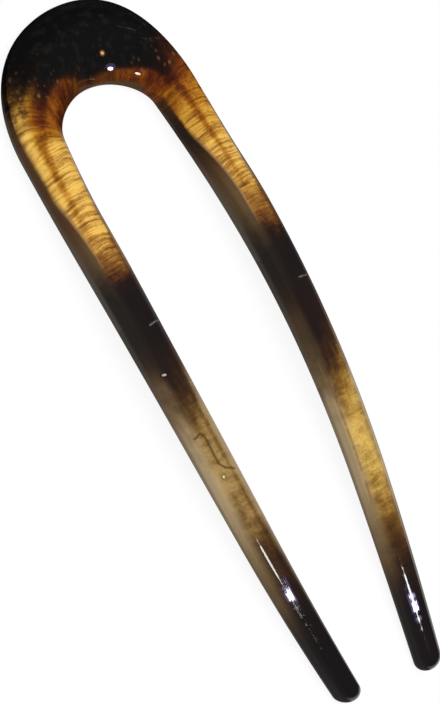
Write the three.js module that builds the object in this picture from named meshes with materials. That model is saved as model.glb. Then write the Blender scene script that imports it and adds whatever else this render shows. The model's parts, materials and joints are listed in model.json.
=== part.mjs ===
// U-shaped hair pin, moulded from glossy plastic: a wide domed crown and two tapering, springy legs.
// Millimetres, +Z up. The pin is drawn flat, with its apex at y = 0 and its tips towards -Y. It is then
// arched, and tilted until it lies on a table on the rim of its crown and its two tips.
// The legs of the real pin bend a little all along. Here each leg turns about one flex line instead.
import * as THREE from 'three';

const { degToRad, lerp, smoothstep } = THREE.MathUtils;

// Plan of the crown
const CROWN_BAND = 12.8; // width of the band at the apex
const CROWN_LEAN = 1.6; // the apex lies this far towards the right leg
const ARCH_RISE = 6.0; // inner arch, from its springing line to its top
const ARCH_WIDTH = 18.2; // inner arch, across its springing line
const OUTER_APEX_PULL = 9.6; // handles of the outer curve: how full it is at the apex
const OUTER_SHOULDER_PULL = 11.9; // and at the shoulder
const INNER_APEX_PULL = 4.7;
const INNER_SHOULDER_PULL = 2.7;

// Plan of the legs
const LEFT_LEG_LENGTH = 90.0; // springing line to tip, before the pin is arched
const RIGHT_LEG_LENGTH = 91.9;
const LEG_ROOT_WIDTH = 6.9;
const TIP_WIDTH = 3.8;
const TIP_GAP = 11.5; // clear space between the tips
const OUTER_FLARE = degToRad(0.7); // the legs first spread
const INNER_FLARE = degToRad(7.4);
const OUTER_CLOSING = degToRad(11.2); // and close in at the tips
const INNER_CLOSING = degToRad(7.2);

// Sections: a flat underside, upright walls and a domed top. The crown is a deep dome on low walls
const CROWN = { thickness: 5.0, dome: 3.4, topEdge: 0.8, lowerEdge: 0.6 };
const SHOULDER = { thickness: 5.2, dome: 2.7, topEdge: 0.9, lowerEdge: 0.7 }; // on the springing line
const LEG = { thickness: 5.2, dome: 0.9, topEdge: 0.7, lowerEdge: 1.0 };
const TIP = { thickness: 4.0, dome: 1.4, topEdge: 0.9, lowerEdge: 1.2 };
const SHOULDER_END = 2; // below the springing line: here the walls begin to grow
const LEG_SECTION_START = 21; // and here they are at their full height

// Side view: straight at both ends, arched between
const ARCHED_FROM = 41; // distance below the apex
const ARCHED_LENGTH = 40;
const ARCHED_ANGLE = degToRad(9.6);

// Flex lines of the legs
const FLEX_DROP = 31.5; // below the springing line
const FLEX_GAP = 0.4; // room for the leg to turn

// Facets
const CROWN_STEPS = 14; // apex to springing line
const STEM_STEPS = 9; // springing line to flex line
const LEG_STEPS = 16; // flex line to the nose of the tip
const NOSE_STEPS = 5;
const EDGE_STEPS = 3;
const DOME_STEPS = 8;

const CROWN_DEPTH = CROWN_BAND + ARCH_RISE;
const NOSE_LENGTH = TIP_WIDTH / 2;

const MATERIALS = {
  crown: { color: 0x1a1009, roughness: 0.16, metalness: 0 },
  left_leg: { color: 0x5a4220, roughness: 0.16, metalness: 0 },
  right_leg: { color: 0x66491c, roughness: 0.16, metalness: 0 },
};

// One edge of one half of the pin in plan: a curve from apex to springing line, and one down the leg
function makeRail(side, legLength, { apex, reach, apexPull, shoulderPull, flare, closing, tipReach }) {
  const legEnd = -CROWN_DEPTH - legLength + NOSE_LENGTH;
  const legPull = (-CROWN_DEPTH - legEnd) / 3;
  const at = (x, y) => new THREE.Vector2(side * x, y);
  const crown = new THREE.CubicBezierCurve(
    apex,
    new THREE.Vector2(apex.x + side * apexPull, apex.y),
    at(reach - shoulderPull * Math.sin(flare), -CROWN_DEPTH + shoulderPull * Math.cos(flare)),
    at(reach, -CROWN_DEPTH),
  );
  const leg = new THREE.CubicBezierCurve(
    at(reach, -CROWN_DEPTH),
    at(reach + legPull * Math.tan(flare), -CROWN_DEPTH - legPull),
    at(tipReach + legPull * Math.tan(closing), legEnd + legPull),
    at(tipReach, legEnd),
  );
  return { crown, leg };
}

const outerRail = (side, legLength) => makeRail(side, legLength, {
  apex: new THREE.Vector2(CROWN_LEAN, 0),
  reach: ARCH_WIDTH / 2 + LEG_ROOT_WIDTH,
  apexPull: OUTER_APEX_PULL,
  shoulderPull: OUTER_SHOULDER_PULL,
  flare: OUTER_FLARE,
  closing: OUTER_CLOSING,
  tipReach: TIP_GAP / 2 + TIP_WIDTH,
});

const innerRail = (side, legLength) => makeRail(side, legLength, {
  apex: new THREE.Vector2(0, -CROWN_BAND),
  reach: ARCH_WIDTH / 2,
  apexPull: INNER_APEX_PULL,
  shoulderPull: INNER_SHOULDER_PULL,
  flare: INNER_FLARE,
  closing: INNER_CLOSING,
  tipReach: TIP_GAP / 2,
});

function mixProfiles(a, b, t) {
  return {
    thickness: lerp(a.thickness, b.thickness, t),
    dome: lerp(a.dome, b.dome, t),
    topEdge: lerp(a.topEdge, b.topEdge, t),
    lowerEdge: lerp(a.lowerEdge, b.lowerEdge, t),
  };
}

// Points of a section about the middle of its underside, anticlockwise, with u across and v up
function sectionPoints(width, { thickness, dome, topEdge, lowerEdge }) {
  const half = width / 2;
  const room = Math.min(1, (thickness - dome) / (topEdge + lowerEdge), half / Math.max(topEdge, lowerEdge));
  const top = topEdge * room;
  const low = lowerEdge * room;
  const domeRadius = (half * half + dome * dome) / (2 * dome);
  const domeCentre = thickness - domeRadius;
  const edgeRise = Math.sqrt((domeRadius - top) ** 2 - (half - top) ** 2);
  const domeStart = Math.atan2(edgeRise, half - top);
  const arc = (u, v, radius, from, to, steps) => Array.from({ length: steps + 1 }, (_, i) => {
    const angle = lerp(from, to, i / steps);
    return new THREE.Vector2(u + radius * Math.cos(angle), v + radius * Math.sin(angle));
  });
  return [
    ...arc(half - low, low, low, -Math.PI / 2, 0, EDGE_STEPS),
    ...arc(half - top, domeCentre + edgeRise, top, 0, domeStart, EDGE_STEPS).slice(0, -1),
    ...arc(0, domeCentre, domeRadius, domeStart, Math.PI - domeStart, DOME_STEPS),
    ...arc(top - half, domeCentre + edgeRise, top, Math.PI - domeStart, Math.PI, EDGE_STEPS).slice(1),
    ...arc(low - half, low, low, Math.PI, 1.5 * Math.PI, EDGE_STEPS),
  ];
}

// How far a place this far below the apex is turned down by the arch
function archAngle(distance) {
  return ARCHED_ANGLE * THREE.MathUtils.clamp((distance - ARCHED_FROM) / ARCHED_LENGTH, 0, 1);
}

// A point of the flat pin, moved onto the arch
function arched(x, y, z) {
  const distance = -y - ARCHED_FROM;
  if (distance <= 0) return new THREE.Vector3(x, y, z);
  const angle = archAngle(-y);
  const radius = ARCHED_LENGTH / ARCHED_ANGLE;
  const beyond = Math.max(0, distance - ARCHED_LENGTH);
  const run = radius * Math.sin(angle) + beyond * Math.cos(angle);
  const drop = radius * (1 - Math.cos(angle)) + beyond * Math.sin(angle);
  return new THREE.Vector3(x, -ARCHED_FROM - run - z * Math.sin(angle), z * Math.cos(angle) - drop);
}

const midway = (a, b) => a.clone().add(b).multiplyScalar(0.5);

// A closed ring of points from rail to rail. The rings of the nose of a tip shrink about their middle
function makeRing(inner, outer, profile, shrink = 1) {
  const across = outer.clone().sub(inner);
  const middle = midway(inner, outer);
  const points = sectionPoints(across.length(), profile);
  across.normalize();
  return points.map(({ x: u, y: v }) => arched(
    middle.x + across.x * u * shrink,
    middle.y + across.y * u * shrink,
    profile.thickness / 2 + (v - profile.thickness / 2) * shrink,
  ));
}

const steps = (count) => Array.from({ length: count + 1 }, (_, i) => i / count);

// Rings of one half of the pin, from the apex to its flex line and from there to its tip
function makeHalf(side, legLength) {
  const outer = outerRail(side, legLength);
  const inner = innerRail(side, legLength);
  const span = legLength - NOSE_LENGTH;
  const crownRing = (t) => makeRing(
    inner.crown.getPoint(t), outer.crown.getPoint(t), mixProfiles(CROWN, SHOULDER, smoothstep(t, 0, 1)));
  const legProfile = (drop) => mixProfiles(
    mixProfiles(SHOULDER, LEG, smoothstep(drop, SHOULDER_END, LEG_SECTION_START)),
    TIP, smoothstep(drop, LEG_SECTION_START, span));
  const legRing = (drop) => makeRing(
    inner.leg.getPoint(drop / span), outer.leg.getPoint(drop / span), legProfile(drop));
  const nose = midway(inner.leg.getTangent(1), outer.leg.getTangent(1)).setLength(NOSE_LENGTH);
  const noseRing = (angle) => {
    const slide = nose.clone().multiplyScalar(Math.sin(angle));
    return makeRing(inner.leg.v3.clone().add(slide), outer.leg.v3.clone().add(slide), TIP, Math.cos(angle));
  };
  const tip = midway(inner.leg.v3, outer.leg.v3).add(nose);
  const flex = midway(inner.leg.getPoint(FLEX_DROP / span), outer.leg.getPoint(FLEX_DROP / span));
  const stemEnd = FLEX_DROP - FLEX_GAP / 2;
  const legStart = FLEX_DROP + FLEX_GAP / 2;
  return {
    crown: steps(CROWN_STEPS).map((t) => crownRing(t)),
    stem: steps(STEM_STEPS).slice(1).map((t) => legRing(stemEnd * t)),
    leg: [
      ...steps(LEG_STEPS).map((t) => legRing(lerp(legStart, span, t))),
      ...steps(NOSE_STEPS).slice(1, -1).map((t) => noseRing(t * Math.PI / 2)),
    ],
    tip: arched(tip.x, tip.y, TIP.thickness / 2),
    flexLine: arched(flex.x, flex.y, legProfile(FLEX_DROP).thickness / 2),
    flexAngle: archAngle(CROWN_DEPTH + FLEX_DROP),
  };
}

function middleOf(ring) {
  const sum = ring.reduce((total, point) => total.add(point), new THREE.Vector3());
  return sum.divideScalar(ring.length);
}

// A closed skin over rings that follow one another, with a fan of triangles over each end
function loft(rings, startPoint, endPoint) {
  const count = rings[0].length;
  const points = [...rings.flat(), startPoint, endPoint];
  const start = points.length - 2;
  const end = points.length - 1;
  const lastRing = (rings.length - 1) * count;
  const index = [];
  for (let j = 0; j < count; j += 1) {
    const next = (j + 1) % count;
    index.push(start, next, j);
    index.push(end, lastRing + j, lastRing + next);
    for (let i = 0; i < lastRing; i += count) {
      index.push(i + j, i + next, i + count + next);
      index.push(i + j, i + count + next, i + count + j);
    }
  }
  const geometry = new THREE.BufferGeometry().setFromPoints(points);
  geometry.setIndex(index);
  geometry.computeVertexNormals();
  return geometry;
}

function makePiece(name, rings, startPoint, endPoint) {
  const piece = new THREE.Mesh(
    loft(rings, startPoint, endPoint), new THREE.MeshStandardMaterial(MATERIALS[name]));
  piece.name = name;
  return piece;
}

// A leg hangs in a group whose Z axis is its flex line
function hangLeg(piece, half) {
  const flex = new THREE.Group();
  flex.name = `${piece.name}_flex`;
  flex.position.copy(half.flexLine);
  flex.rotation.x = half.flexAngle;
  flex.attach(piece);
  return flex;
}

// The tilt at which the crown's rim and the tip stand level
function restingTilt(crownPoints, legPoints) {
  let tilt = 0;
  const lowest = (points) => {
    const height = (p) => p.y * Math.sin(tilt) + p.z * Math.cos(tilt);
    return points.reduce((low, p) => (height(p) < height(low) ? p : low));
  };
  const settlingRounds = 4;
  for (let round = 0; round < settlingRounds; round += 1) {
    const rim = lowest(crownPoints);
    const tip = lowest(legPoints);
    tilt = -Math.atan2(rim.z - tip.z, rim.y - tip.y);
  }
  return tilt;
}

const left = makeHalf(-1, LEFT_LEG_LENGTH);
const right = makeHalf(1, RIGHT_LEG_LENGTH);

// The rings run from the left leg over the crown to the right leg
const crownRings = [
  ...left.stem.toReversed(), ...left.crown.slice(1).toReversed(), ...right.crown, ...right.stem];
const leftRings = left.leg.toReversed();
const rightRings = right.leg;

const crown = makePiece('crown', crownRings, middleOf(crownRings[0]), middleOf(crownRings.at(-1)));
const leftLeg = makePiece('left_leg', leftRings, left.tip, middleOf(leftRings.at(-1)));
const rightLeg = makePiece('right_leg', rightRings, middleOf(rightRings[0]), right.tip);

const pin = new THREE.Group();
pin.name = 'hair_pin';
pin.add(crown, hangLeg(leftLeg, left), hangLeg(rightLeg, right));
pin.rotation.x = restingTilt(crownRings.flat(), rightRings.flat());

// The origin is on the table, under the middle of the pin
const box = new THREE.Box3().setFromObject(pin, true);
const middle = box.getCenter(new THREE.Vector3());
pin.position.set(-middle.x, -middle.y, -box.min.z);

export default pin;
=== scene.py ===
# %% [markdown]
# # A U-shaped hair pin in pearl tortoiseshell
#
# The pin is one moulded piece: a broad domed crown that runs down into two long, springy legs. It has no
# screws, seams or labels, so everything that makes it look real is in its smooth form and in the way the
# colour lies in the plastic: black clouds, amber and gold with fine growth lines, and a clear polish on
# top.
#
# The packed CAD model is loaded first, as a fixed frame. Its box is kept, so that the finished pin can be
# set down in it.

# %% Load the frame
import json
import math

import bpy
import numpy as np
from mathutils import Matrix, Vector
from mathutils.bvhtree import BVHTree


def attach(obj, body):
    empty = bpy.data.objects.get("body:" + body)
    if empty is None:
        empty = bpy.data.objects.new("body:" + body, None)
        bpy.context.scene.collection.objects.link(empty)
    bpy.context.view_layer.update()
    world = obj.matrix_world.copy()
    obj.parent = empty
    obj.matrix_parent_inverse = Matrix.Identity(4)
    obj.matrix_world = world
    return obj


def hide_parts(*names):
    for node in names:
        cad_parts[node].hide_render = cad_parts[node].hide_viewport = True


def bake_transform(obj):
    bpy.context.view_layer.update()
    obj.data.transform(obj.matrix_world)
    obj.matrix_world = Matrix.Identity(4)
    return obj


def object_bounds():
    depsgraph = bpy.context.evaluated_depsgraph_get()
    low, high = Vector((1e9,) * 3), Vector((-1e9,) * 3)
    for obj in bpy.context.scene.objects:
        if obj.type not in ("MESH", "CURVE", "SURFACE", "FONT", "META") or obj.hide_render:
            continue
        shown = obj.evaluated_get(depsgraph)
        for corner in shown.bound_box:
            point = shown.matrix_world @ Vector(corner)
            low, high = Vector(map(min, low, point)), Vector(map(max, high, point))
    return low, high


MM = 0.001  # a millimetre in metres

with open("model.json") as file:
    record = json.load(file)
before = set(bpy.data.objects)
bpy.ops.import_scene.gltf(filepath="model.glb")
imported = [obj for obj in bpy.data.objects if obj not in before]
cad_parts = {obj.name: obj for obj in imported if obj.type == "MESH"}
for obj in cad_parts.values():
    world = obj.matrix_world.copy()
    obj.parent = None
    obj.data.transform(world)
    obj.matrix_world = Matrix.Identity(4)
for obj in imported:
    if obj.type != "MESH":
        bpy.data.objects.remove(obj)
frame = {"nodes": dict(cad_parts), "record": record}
cad_low, cad_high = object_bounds()
print("CAD box, mm:", [round(side / MM, 2) for side in cad_high - cad_low])

# %% [markdown]
# ## The camera
#
# The pin lies on a table and is seen from its left side, from well above, through a long lens. The
# picture is turned about the line of sight, so that the pin runs from the upper left to the lower right.
# A camera can be aimed with a Track To constraint, but a roll like this one is easier to write as a
# rotation: first look at the target, then turn the camera about its own axis.

# %% The camera
CAMERA_AZIMUTH = math.radians(-91.257)
CAMERA_ELEVATION = math.radians(56.776)
CAMERA_ROLL = math.radians(64.047)
CAMERA_DISTANCE = 0.6
CAMERA_TARGET = Vector((-0.0018273, -0.000019, 0.0040525))
CAMERA_LENS = 213.013  # millimetres
CAMERA_SENSOR = 36.0  # millimetres along the picture's long side
CAMERA_CLIP = 0.01

towards_camera = Vector((
    math.sin(CAMERA_AZIMUTH) * math.cos(CAMERA_ELEVATION),
    -math.cos(CAMERA_AZIMUTH) * math.cos(CAMERA_ELEVATION),
    math.sin(CAMERA_ELEVATION),
))
camera_data = bpy.data.cameras.new("photo_camera")
camera_data.lens = CAMERA_LENS
camera_data.sensor_width = CAMERA_SENSOR
camera_data.clip_start = CAMERA_CLIP
camera = bpy.data.objects.new("photo_camera", camera_data)
bpy.context.scene.collection.objects.link(camera)
looking = (-towards_camera).to_track_quat("-Z", "Y").to_matrix() @ Matrix.Rotation(CAMERA_ROLL, 3, "Z")
place = Matrix.Translation(CAMERA_TARGET + CAMERA_DISTANCE * towards_camera)
camera.matrix_world = place @ looking.to_4x4()
bpy.context.scene.camera = camera
print("camera at", [round(x, 3) for x in camera.location])

# %% [markdown]
# ## The plan: two rails on each side
#
# Seen flat, each half of the pin lies between two rails, an inner one and an outer one. Each rail is two
# Bezier curves that meet smoothly at the springing line, where the crown becomes the leg. A mesh could be
# pushed into this shape by hand, but rails keep the sweep of the crown and the taper of the legs fair,
# and they are the same ones that the CAD solids use, so the two models fit. Sizes here are in
# millimetres, with the apex at y = 0 and the tips towards -Y, and are turned into metres when the mesh is
# made.

# %% Sizes of the plan
CROWN_BAND = 12.8
CROWN_LEAN = 1.6
ARCH_RISE = 6.0
ARCH_WIDTH = 18.2
LEG_LENGTH = {-1: 90.0, 1: 91.9}  # left and right
LEG_ROOT_WIDTH = 6.9
TIP_WIDTH = 3.8
TIP_GAP = 11.5
CROWN_DEPTH = CROWN_BAND + ARCH_RISE
NOSE_LENGTH = TIP_WIDTH / 2

OUTER_EDGE = dict(
    apex=(CROWN_LEAN, 0.0), reach=ARCH_WIDTH / 2 + LEG_ROOT_WIDTH, tip_reach=TIP_GAP / 2 + TIP_WIDTH,
    apex_pull=9.6, shoulder_pull=11.9, flare=math.radians(0.7), closing=math.radians(11.2))
INNER_EDGE = dict(
    apex=(0.0, -CROWN_BAND), reach=ARCH_WIDTH / 2, tip_reach=TIP_GAP / 2,
    apex_pull=4.7, shoulder_pull=2.7, flare=math.radians(7.4), closing=math.radians(7.2))
print("plan width at the springing line, mm:", 2 * OUTER_EDGE["reach"])

# %% [markdown]
# ### Drawing a rail
#
# A cubic Bezier curve is set by four corners: it starts in the first, heads for the second, and comes
# into the last from the third. The corners on both sides of the springing line lie on one straight line
# through it, so crown and leg meet without a kink. A Bezier curve object would draw the same line, but
# here its points are needed as numbers.

# %% The two rails
def bezier(corners, t):
    """Points of a cubic curve at the places t, as rows of x and y."""
    t = np.asarray(t)[:, None]
    a, b, c, d = (np.array(corner) for corner in corners)
    return (1 - t) ** 3 * a + 3 * (1 - t) ** 2 * t * b + 3 * (1 - t) * t ** 2 * c + t ** 3 * d


def rail(side, apex, reach, tip_reach, apex_pull, shoulder_pull, flare, closing):
    """The corners of the crown's curve and of the leg's curve along one edge."""
    leg_end = -CROWN_DEPTH - LEG_LENGTH[side] + NOSE_LENGTH
    leg_pull = (-CROWN_DEPTH - leg_end) / 3
    shoulder = (reach - shoulder_pull * math.sin(flare), -CROWN_DEPTH + shoulder_pull * math.cos(flare))
    springing = (side * reach, -CROWN_DEPTH)
    crown = [apex, (apex[0] + side * apex_pull, apex[1]), (side * shoulder[0], shoulder[1]), springing]
    leg = [
        springing,
        (side * (reach + leg_pull * math.tan(flare)), -CROWN_DEPTH - leg_pull),
        (side * (tip_reach + leg_pull * math.tan(closing)), leg_end + leg_pull),
        (side * tip_reach, leg_end),
    ]
    return crown, leg


print("left leg's outer rail ends at", np.round(rail(-1, **OUTER_EDGE)[1][3], 2))

# %% [markdown]
# ## The section: flat below, upright walls, a dome on top
#
# Cut across anywhere, the pin shows the same family of shapes: a flat underside, two upright walls with
# rounded edges, and a dome. On the crown the dome is deep and the walls are low, like a pillow. Down the
# shoulders the walls grow, until the legs are bars with a low dome. Each section is worked out from four
# sizes, so it can change smoothly along the pin. Every point also gets the two parts of its normal, out
# and up, which later tell the materials where the top ends and the wall begins.

# %% Sizes of the sections
CROWN_SECTION = (5.0, 3.4, 0.8, 0.6)  # thickness, dome, top edge, lower edge
SHOULDER_SECTION = (5.2, 2.7, 0.9, 0.7)
LEG_SECTION = (5.2, 0.9, 0.7, 1.0)
TIP_SECTION = (4.0, 1.4, 0.9, 1.2)
SHOULDER_END = 2.0  # below the springing line, where the walls begin to grow
LEG_SECTION_START = 21.0  # where they are at their full height


def smooth(t):
    """An even step from 0 to 1 with soft ends."""
    t = np.clip(t, 0, 1)
    return t * t * (3 - 2 * t)


def mixed(a, b, share):
    """Rows of sizes on the way from a to b, one for each share."""
    return np.array(a) + (np.array(b) - np.array(a)) * share[:, None]


def section_sizes(t, drop, span):
    """The four sizes on the way from the apex (t = 0 to 1) and down the leg (drop, in millimetres)."""
    over_crown = mixed(CROWN_SECTION, SHOULDER_SECTION, smooth(t))
    walls = smooth((drop - SHOULDER_END) / (LEG_SECTION_START - SHOULDER_END))
    taper = smooth((drop - LEG_SECTION_START) / (span - LEG_SECTION_START))
    down_leg = mixed(mixed(SHOULDER_SECTION, LEG_SECTION, walls), TIP_SECTION, taper)
    return np.concatenate([over_crown, down_leg])


print("wall height, mm: crown", CROWN_SECTION[0] - CROWN_SECTION[1], "leg", LEG_SECTION[0] - LEG_SECTION[1])

# %% [markdown]
# ### Points of a section
#
# A section is a closed row of points: round one lower edge, up the wall, round the top edge, over the
# dome, down the other side, and back along the underside. A curve object with a bevel profile makes such
# bars too, but only with one profile from end to end. Here every section is worked out for itself, all of
# them at once with numpy, and each has the same number of points, so that neighbours can be joined.

# %% Sections from rail to rail
EDGE_POINTS = 8
WALL_POINTS = 5
DOME_POINTS = 46
UNDERSIDE_POINTS = 8


def sections(width, sizes):
    """Points across and up, and the outward and upward parts of the normal, one row for each section."""
    thickness, dome, top, low = (np.asarray(size)[:, None] for size in sizes.T)
    half = width[:, None] / 2
    room = np.minimum(1, np.minimum((thickness - dome) / (top + low), half / np.maximum(top, low)))
    top, low = top * room, low * room
    radius = (half ** 2 + dome ** 2) / (2 * dome)
    centre = thickness - radius
    rise = np.sqrt((radius - top) ** 2 - (half - top) ** 2)
    start = np.arctan2(rise, half - top)
    parts = []

    def arc(u, v, size, first, last, count):
        angle = first + (last - first) * np.linspace(0, 1, count)
        out, up = np.cos(angle), np.sin(angle)
        parts.append((u + size * out, v + size * up, out, up))

    def straight(u, v, count, out, up):
        share = np.linspace(0, 1, count + 2)[1:-1]
        along = (u[0] + (u[1] - u[0]) * share, v[0] + (v[1] - v[0]) * share)
        parts.append((along[0], along[1], np.full(along[0].shape, out), np.full(along[0].shape, up)))

    quarter = np.full(half.shape, math.pi / 2)
    arc(half - low, low, low, -quarter, 0 * quarter, EDGE_POINTS)
    straight((half, half), (low, centre + rise), WALL_POINTS, 1.0, 0.0)
    arc(half - top, centre + rise, top, 0 * quarter, start, EDGE_POINTS)
    dome_from = start + (math.pi - 2 * start) / (DOME_POINTS + 1)
    arc(0 * half, centre, radius, dome_from, math.pi - dome_from, DOME_POINTS)
    arc(top - half, centre + rise, top, math.pi - start, 2 * quarter, EDGE_POINTS)
    straight((-half, -half), (centre + rise, low), WALL_POINTS, -1.0, 0.0)
    arc(low - half, low, low, 2 * quarter, 3 * quarter, EDGE_POINTS)
    straight((low - half, half - low), (0 * half, 0 * half), UNDERSIDE_POINTS, 0.0, -1.0)
    return [np.concatenate([part[k] for part in parts], axis=1) for k in range(4)]


print("points in a section:", 4 * EDGE_POINTS + 2 * WALL_POINTS + DOME_POINTS + UNDERSIDE_POINTS)

# %% [markdown]
# ## Side view: the arch
#
# The real pin isn't flat. Its legs bend gently down over their middle part, so that it rests on the rim
# of the crown and on both tips, and follows the head when it is worn. The flat form is wrapped round an
# arc, as a Simple Deform modifier would do it, but with straight ends before and after.

# %% Bend the flat form over the arch
ARCHED_FROM = 41.0
ARCHED_LENGTH = 40.0
ARCHED_ANGLE = math.radians(9.6)


def arched(x, y, z):
    """Points of the flat form, wrapped over the arch."""
    radius = ARCHED_LENGTH / ARCHED_ANGLE
    past = -y - ARCHED_FROM
    angle = ARCHED_ANGLE * np.clip(past / ARCHED_LENGTH, 0, 1)
    beyond = np.maximum(0, past - ARCHED_LENGTH)
    run = np.where(past > 0, radius * np.sin(angle) + beyond * np.cos(angle), past)
    drop = radius * (1 - np.cos(angle)) + beyond * np.sin(angle)
    return np.stack([x, -ARCHED_FROM - run - z * np.sin(angle), z * np.cos(angle) - drop], axis=-1)


print("arch radius, mm:", round(ARCHED_LENGTH / ARCHED_ANGLE, 1))

# %% [markdown]
# ## The marks of use
#
# The pin has been worn. There is a fine S-shaped crack in the tan part of the left leg, a whitish scratch
# that ends in a small nub on its inner edge, a short scratch on the right leg and one on the crown, and a
# few tiny light spots. These spots, a white one and a yellowish sparkle on the left leg and the light
# centre of an amber dot on the crown, are painted glints, kept with the nubs. The marks could be painted
# on as lines, but a mesh is too coarse to hold a sharp line. So each mark is kept as a path in surface
# coordinates (run along the pin, place across it), and later every vertex learns its distance from that
# path. A distance changes evenly, so a material can cut a crisp line from it.

# %% Paths of the marks
CRACK = [(1.519, 0.87), (1.515, 0.50), (1.521, 0.38), (1.531, 0.35), (1.552, 0.39), (1.571, 0.39),
         (1.581, 0.16), (1.589, -0.42)]
LEFT_SCRATCH = [(1.327, 0.0), (1.325, -0.58), (1.327, -0.95)]
LEFT_NUB = [(1.3265, -0.93), (1.327, -0.97)]
# Painted glints, drawn like nubs: a white spot and a yellowish sparkle.
LEFT_GLINT_SPOT = [(1.4065, 0.74), (1.4075, 0.62)]
LEFT_SPARKLE = [(1.593, 0.48), (1.593, 0.50)]
RIGHT_SCRATCH = [(1.359, 0.02), (1.361, 0.72)]
CROWN_SCRATCH = [(0.309, 0.149), (0.386, 0.149), (0.468, 0.186)]
# An amber dot; its light centre is a painted glint.
CROWN_DOT = [(0.130, -0.44), (0.142, -0.45)]
MARKS = {  # for the left half and the right half
    "scratch": {-1: [LEFT_SCRATCH], 1: [RIGHT_SCRATCH, CROWN_SCRATCH]},
    "nub": {-1: [LEFT_NUB, LEFT_GLINT_SPOT, LEFT_SPARKLE], 1: [CROWN_DOT]},
    "crack": {-1: [CRACK], 1: []},
}
print("marks:", {name: sum(len(paths) for paths in halves.values()) for name, halves in MARKS.items()})

# %% [markdown]
# ### How far a point is from a mark
#
# A path is a chain of straight pieces. For each piece, the nearest place on it is found as a share of its
# length between 0 and 1, and the shortest distance counts. The paths are first turned into millimetres,
# so that a line is equally wide in all directions.

# %% Distance from the marks
FAR_AWAY = 5.0  # millimetres: no mark reaches this far


def distance_to(path, along, over):
    """How far each point is from a path, in millimetres."""
    best = np.full(along.shape, FAR_AWAY)
    for (a, b), (c, d) in zip(path[:-1], path[1:]):
        length = math.hypot(c - a, d - b)
        share = np.clip(((along - a) * (c - a) + (over - b) * (d - b)) / length ** 2, 0, 1)
        best = np.minimum(best, np.hypot(along - a - share * (c - a), over - b - share * (d - b)))
    return best


def mark_distances(side, run, travelled, width, along, over):
    """For each kind of mark, how far each point of one half is from the nearest one, in millimetres."""

    def flattened(r, a):
        return side * np.interp(r, run, travelled), a * np.interp(r, run, width) / 2

    found = {}
    for name, halves in MARKS.items():
        found[name] = np.full(over.shape, FAR_AWAY)
        for path in halves[side]:
            flat = [flattened(r, a) for r, a in path]
            found[name] = np.minimum(found[name], distance_to(flat, along, over))
    return found


print("pieces of the crack's path:", len(CRACK) - 1)

# %% [markdown]
# ## The hand polish
#
# Hand polishing leaves a surface that is a fraction of a thousandth of a millimetre uneven, most of all
# near the left tip. The eye sees it only where a lamp is mirrored: the streak of light breaks up into
# dashes. A bump map could fake it, but here the points themselves are moved. The crack is a real groove
# and the nub a real bump, both far too low to show in the outline. The ripple is a sum of sine waves from
# a seeded generator, so it is the same on every run.

# %% Polish ripple and groove
RIPPLE = 0.0003  # millimetres
TIP_RIPPLE = 0.0006
TIP_RIPPLE_FROM, TIP_RIPPLE_FULL = 1.825, 1.86
RIPPLE_WAVES = 14
RIPPLE_SEED = 7
WAVES_ALONG = (1.2, 5.0)  # radians for each millimetre
WAVES_ACROSS = (0.2, 2.0)
GROOVE_DEPTH = 0.04
GROOVE_WIDTH = 0.18
NUB_HEIGHT = 0.04
NUB_WIDTH = 0.22
chance = np.random.default_rng(RIPPLE_SEED)
waves = np.stack([
    chance.uniform(*WAVES_ALONG, RIPPLE_WAVES) * chance.choice([-1, 1], RIPPLE_WAVES),
    chance.uniform(*WAVES_ACROSS, RIPPLE_WAVES) * chance.choice([-1, 1], RIPPLE_WAVES),
    chance.uniform(0, 2 * math.pi, RIPPLE_WAVES),
], axis=1)


def unevenness(side, run, along, over, marks):
    """How far the surface stands above its true form, in millimetres."""
    tip_share = smooth((run - TIP_RIPPLE_FROM) / (TIP_RIPPLE_FULL - TIP_RIPPLE_FROM)) * (side < 0)
    strength = (RIPPLE + (TIP_RIPPLE - RIPPLE) * tip_share)[:, None] / math.sqrt(RIPPLE_WAVES)
    height = sum(np.sin(k * along + m * over + phase) for k, m, phase in waves) * strength
    height = height - GROOVE_DEPTH * (1 - smooth(marks["crack"] / GROOVE_WIDTH))
    return height + NUB_HEIGHT * (1 - smooth(marks["nub"] / NUB_WIDTH)) * (side < 0)


print("ripple, thousandths of a millimetre:", round(1000 * RIPPLE, 1))

# %% [markdown]
# ## The edges of one half
#
# A loft needs rings, and each ring hangs between the two rails. So the rails are cut into small steps
# from the apex to the springing line, and on to the end of the leg. The tip ends in a rounded nose: there
# the edges run straight on while the section shrinks, as the slices of a ball do. There are more rings
# than the form needs, because a mirrored streak of light shows every corner of a coarse mesh.

# %% Edges of one half
CROWN_RINGS = 130
LEG_RINGS = 560
NOSE_RINGS = 16
CROWN_STEPS = np.linspace(0, 1, CROWN_RINGS)
LEG_STEPS = np.linspace(0, 1, LEG_RINGS)[1:]
NOSE_TURN = np.linspace(0, math.pi / 2, NOSE_RINGS + 2)[1:-1]


def half_edges(side):
    """Inner and outer edge of one half, apex first, the nose, and how far along it the last ring is."""
    edges, ends = [], []
    for shape in (INNER_EDGE, OUTER_EDGE):
        crown_curve, leg_curve = rail(side, **shape)
        edges.append(np.concatenate([bezier(crown_curve, CROWN_STEPS), bezier(leg_curve, LEG_STEPS)]))
        ending = np.subtract(leg_curve[3], leg_curve[2])
        ends.append(ending / np.linalg.norm(ending))
    nose = NOSE_LENGTH * (ends[0] + ends[1]) / np.linalg.norm(ends[0] + ends[1])
    slide = np.sin(NOSE_TURN)[:, None] * nose
    inner, outer = (np.concatenate([edge, edge[-1] + slide]) for edge in edges)
    return inner, outer, nose, slide[-1]


print("rings from the apex to a tip:", len(half_edges(-1)[0]))

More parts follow.
